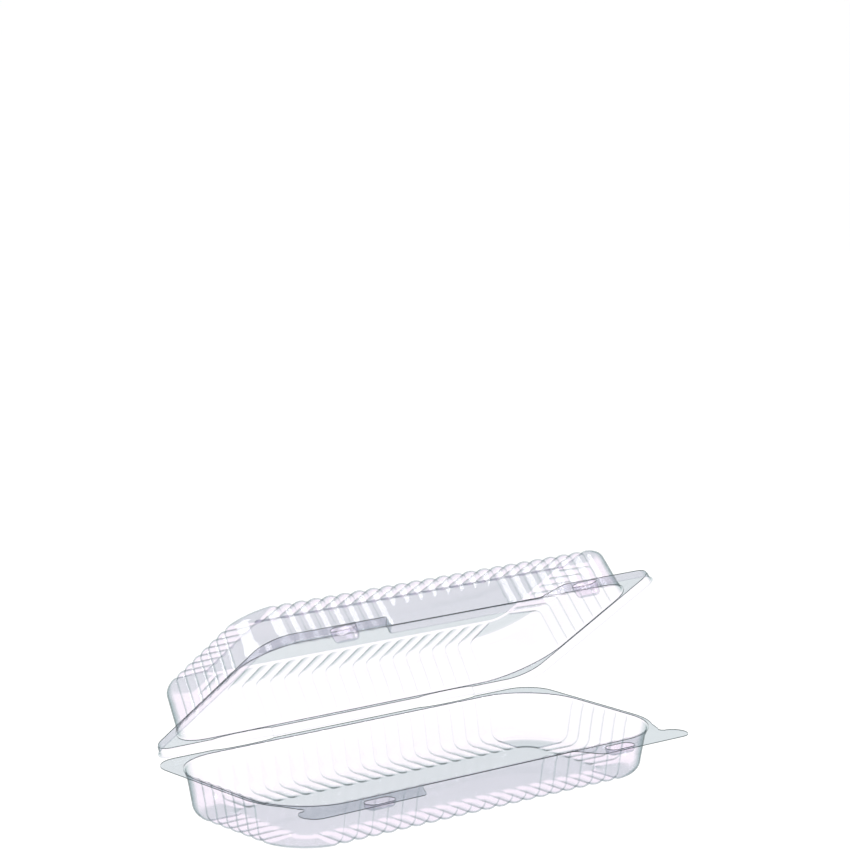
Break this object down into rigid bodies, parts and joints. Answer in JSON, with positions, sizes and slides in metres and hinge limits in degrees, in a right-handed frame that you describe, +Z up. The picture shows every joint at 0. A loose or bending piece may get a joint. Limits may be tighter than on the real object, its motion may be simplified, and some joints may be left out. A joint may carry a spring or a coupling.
{
  "type": "plastic clamshell pack",
  "caption": "Long clear fluted clamshell pack with a tray and a lid formed as one sheet, folded at a living hinge, with finger tabs and snap locks.",
  "frame": {"origin": "middle of the tray's flat underside, on the surface it stands on", "axes": "+X along the fold, +Y from the tabs towards the fold, +Z up"},
  "size_m": [0.2604, 0.1441, 0.1167],
  "materials": {
    "clear_sheet": "clear gloss"
  },
  "bodies": {
    "tray": {"base_tray": "clear_sheet"},
    "cover": {"lid": "clear_sheet"}
  },
  "joints": [
    {"name": "fold", "type": "hinge", "parent": "tray", "child": "cover", "pos_m": [0, 0.0624, 0.02465], "axis": [-1, 0, 0], "range_deg": [-37.3, 122.7]}
  ]
}
